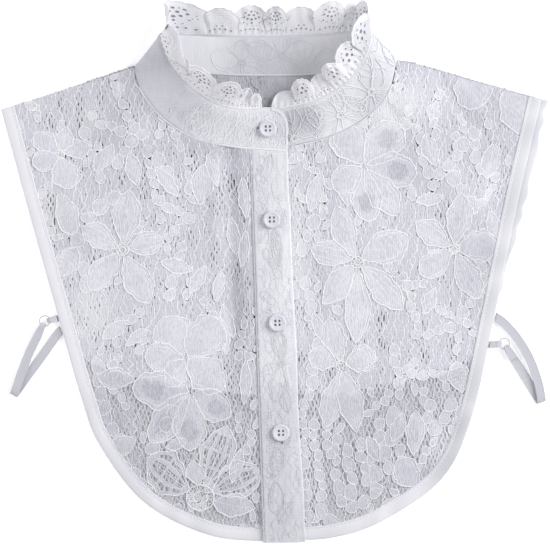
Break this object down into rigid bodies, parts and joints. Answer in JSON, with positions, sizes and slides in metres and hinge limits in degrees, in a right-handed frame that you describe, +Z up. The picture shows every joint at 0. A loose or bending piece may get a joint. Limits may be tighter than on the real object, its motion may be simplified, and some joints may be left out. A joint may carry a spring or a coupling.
{
  "type": "detachable lace collar",
  "caption": "Sleeveless false blouse front and back in lace with a buttoned placket, a band collar with a gathered frill, a curved hem, bound edges and elastic side straps, laid flat.",
  "frame": {"origin": "on the flat underside of the back panel, near the middle of the outline, where the collar rests on the surface", "axes": "+Z up out of the surface, through the back panel and then the front; +Y from the hem to the neck; +X to the right as seen from above"},
  "size_m": [0.3713, 0.3643, 0.0363],
  "materials": {
    "white_lace": "corded floral lace, cotton and polyester, matt",
    "white_cotton": "plain woven cotton bias binding, matt",
    "white_edging": "scalloped lace edging, matt",
    "white_elastic": "ribbed woven elastic tape, matt",
    "white_resin": "moulded resin, soft gloss",
    "clear_nylon": "nylon-coated wire, soft gloss"
  },
  "bodies": {
    "root": {"back": "white_lace", "front_left": "white_lace", "front_right": "white_lace", "placket": "white_lace", "stand": "white_lace", "back_binding": "white_cotton", "front_left_binding": "white_cotton", "front_right_binding": "white_cotton", "frill": "white_edging", "button_1": "white_resin", "button_2": "white_resin", "button_3": "white_resin", "button_4": "white_resin", "tape_left": "white_elastic", "tape_right": "white_elastic", "tab_left": "white_elastic", "tab_right": "white_elastic", "ring_left": "clear_nylon", "ring_right": "clear_nylon"}
  },
  "joints": []
}
